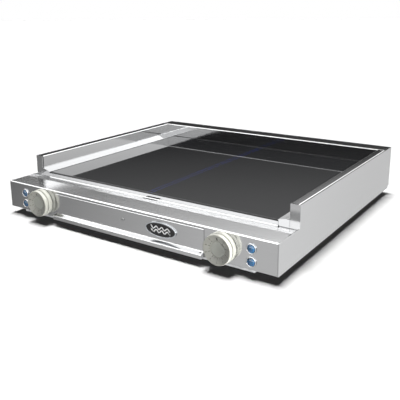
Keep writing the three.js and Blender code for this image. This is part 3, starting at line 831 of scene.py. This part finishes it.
def make_floor():
    """A plain pale floor."""
    size = 40.0
    builder = bmesh.new()
    bmesh.ops.create_grid(builder, x_segments=1, y_segments=1, size=size)
    shader = Shader("pale_floor")
    shader.set(Roughness=1.0, Specular_IOR_Level=0.0)
    paper = shader.noise((40.0, 40.0, 40.0))
    shader.colour(shader.blend(shader.spread(paper, 0.0, 1.0), (0.86, 0.86, 0.86), (0.90, 0.90, 0.90)))
    floor = add_mesh("floor", mesh_from(builder, "floor"), shader.material)
    floor.visible_glossy = False


def add_ramp(tree, value, stops):
    """A grey ramp of (position, tone) stops over a value."""
    ramp = tree.nodes.new("ShaderNodeValToRGB")
    tree.links.new(value, ramp.inputs["Fac"])
    elements = ramp.color_ramp.elements
    for _ in stops[2:]:
        elements.new(0.5)
    for element, (position, tone) in zip(elements, stops):
        element.position = position
        element.color = (tone, tone, tone, 1.0)
    return ramp.outputs["Color"]


def lighten_backdrop(tree, colour):
    """The colour, but as pale as the floor where the camera looks past the floor's edge."""
    rays = tree.nodes.new("ShaderNodeLightPath")
    backdrop = tree.nodes.new("ShaderNodeMix")
    backdrop.data_type = "RGBA"
    backdrop.inputs["B"].default_value = (1 / STUDIO_PEAK,) * 3 + (1.0,)
    tree.links.new(rays.outputs["Is Camera Ray"], backdrop.inputs["Factor"])
    tree.links.new(colour, backdrop.inputs["A"])
    return backdrop.outputs["Result"]


def make_world():
    """The studio that shows in the steel and the glass.

    Above: a bright horizon, dim walls and a bright ceiling. Below: a floor that is darker to the left.
    """
    world = bpy.data.worlds.new("studio")
    bpy.context.scene.world = world
    world.use_nodes = True
    world.cycles_visibility.diffuse = False
    tree = world.node_tree
    background = tree.nodes["Background"]
    background.inputs["Strength"].default_value = STUDIO_PEAK
    coordinates = tree.nodes.new("ShaderNodeTexCoord")
    split = tree.nodes.new("ShaderNodeSeparateXYZ")
    tree.links.new(coordinates.outputs["Generated"], split.inputs["Vector"])
    sideways = tree.nodes.new("ShaderNodeMapRange")
    sideways.inputs["From Min"].default_value = -1.0
    tree.links.new(split.outputs["X"], sideways.inputs["Value"])
    above = add_ramp(tree, split.outputs["Z"], SKY_TONES)
    below = add_ramp(tree, sideways.outputs["Result"], FLOOR_TONES)
    horizon = tree.nodes.new("ShaderNodeMapRange")
    horizon.inputs["From Min"].default_value = -0.08
    horizon.inputs["From Max"].default_value = -0.05
    tree.links.new(split.outputs["Z"], horizon.inputs["Value"])
    both = tree.nodes.new("ShaderNodeMix")
    both.data_type = "RGBA"
    tree.links.new(horizon.outputs["Result"], both.inputs["Factor"])
    tree.links.new(below, both.inputs["A"])
    tree.links.new(above, both.inputs["B"])
    tree.links.new(lighten_backdrop(tree, both.outputs["Result"]), background.inputs["Color"])


def add_sun(name, direction, strength, spread):
    """An even light from a direction, whose shadows soften with its spread in degrees."""
    light = bpy.data.lights.new(name, "SUN")
    light.energy = strength
    light.angle = math.radians(spread)
    lamp = bpy.data.objects.new(name, light)
    bpy.context.scene.collection.objects.link(lamp)
    lamp.rotation_euler = Vector(direction).to_track_quat("Z", "Y").to_euler()
    lamp.visible_glossy = False


def add_softbox(name, place, aim, width, height, radiance, lights="diffuse glossy"):
    """A rectangular light that lights matt surfaces, shows in glossy ones, or both."""
    light = bpy.data.lights.new(name, "AREA")
    light.shape = "RECTANGLE"
    light.size = width
    light.size_y = height
    light.energy = radiance * math.pi * width * height
    lamp = bpy.data.objects.new(name, light)
    bpy.context.scene.collection.objects.link(lamp)
    lamp.location = place
    lamp.rotation_euler = (Vector(aim) - Vector(place)).to_track_quat("-Z", "Y").to_euler()
    lamp.visible_diffuse = "diffuse" in lights
    lamp.visible_glossy = "glossy" in lights
    lamp.visible_camera = False


def keep_off_the_floor(lamp_name):
    """Lets a light fall on the cooktop's pieces only."""
    pieces = bpy.data.collections.new("lit_pieces")
    for obj in bpy.context.scene.objects:
        if obj.type == "MESH" and obj.name != "floor":
            pieces.objects.link(obj)
    bpy.data.objects[lamp_name].light_linking.receiver_collection = pieces


def make_lights():
    middle = (0, 0, 0.05)
    add_sun("overhead_key", (-0.08, 0.08, 1.0), 3.9, 20)
    add_sun("overhead_fill", (0, -0.2, 1.0), 0.05, 150)
    add_softbox("right_fill", (2.5, -0.35, 0.15), middle, 1.2, 0.22, 160.0, "diffuse")
    keep_off_the_floor("right_fill")
    add_softbox("back_right_reflector", (1.8, 2.6, 0.95), middle, 4.8, 1.4, 3.0, "glossy")
    add_softbox("front_right_reflector", (1.95, -2.5, 0.7), middle, 1.8, 0.9, 3.8, "glossy")
    add_softbox("front_reflector", (0, -5.0, 0.4), middle, 9.0, 0.8, 6.0, "glossy")


def make_camera():
    """To the right of the front and a little above the cooktop."""
    azimuth, elevation, roll = (math.radians(angle) for angle in (34.22, 14.24, -0.40))
    camera = bpy.data.cameras.new("camera")
    camera.sensor_width = 36.0
    camera.lens = 51.49
    camera.shift_y = -0.1
    camera.clip_start = 0.05
    camera.clip_end = 50.0
    viewer = bpy.data.objects.new("camera", camera)
    bpy.context.scene.collection.objects.link(viewer)
    level = math.cos(elevation)
    back = Vector((math.sin(azimuth) * level, -math.cos(azimuth) * level, math.sin(elevation)))
    viewer.rotation_mode = "QUATERNION"
    turn = (-back).to_track_quat("-Z", "Y")
    viewer.rotation_quaternion = turn @ Matrix.Rotation(roll, 3, "Z").to_quaternion()
    viewer.location = (0.66019, -1.00022, 0.40033)
    bpy.context.scene.camera = viewer


# ---- The scene ----

bpy.context.scene.view_settings.view_transform = "Standard"

make_camera()
palette = make_materials()
finish_cad_nodes(palette)
for side in SIDES:
    make_knob(side, palette)
    for level in LEVELS:
        make_lamp(side, level, palette)
    for end in ("front", "back"):
        make_foot(side, end, palette)
make_screws(palette)
make_rivet(palette)
make_badge(palette)
spare_the_floor()
make_floor()
make_world()
make_lights()
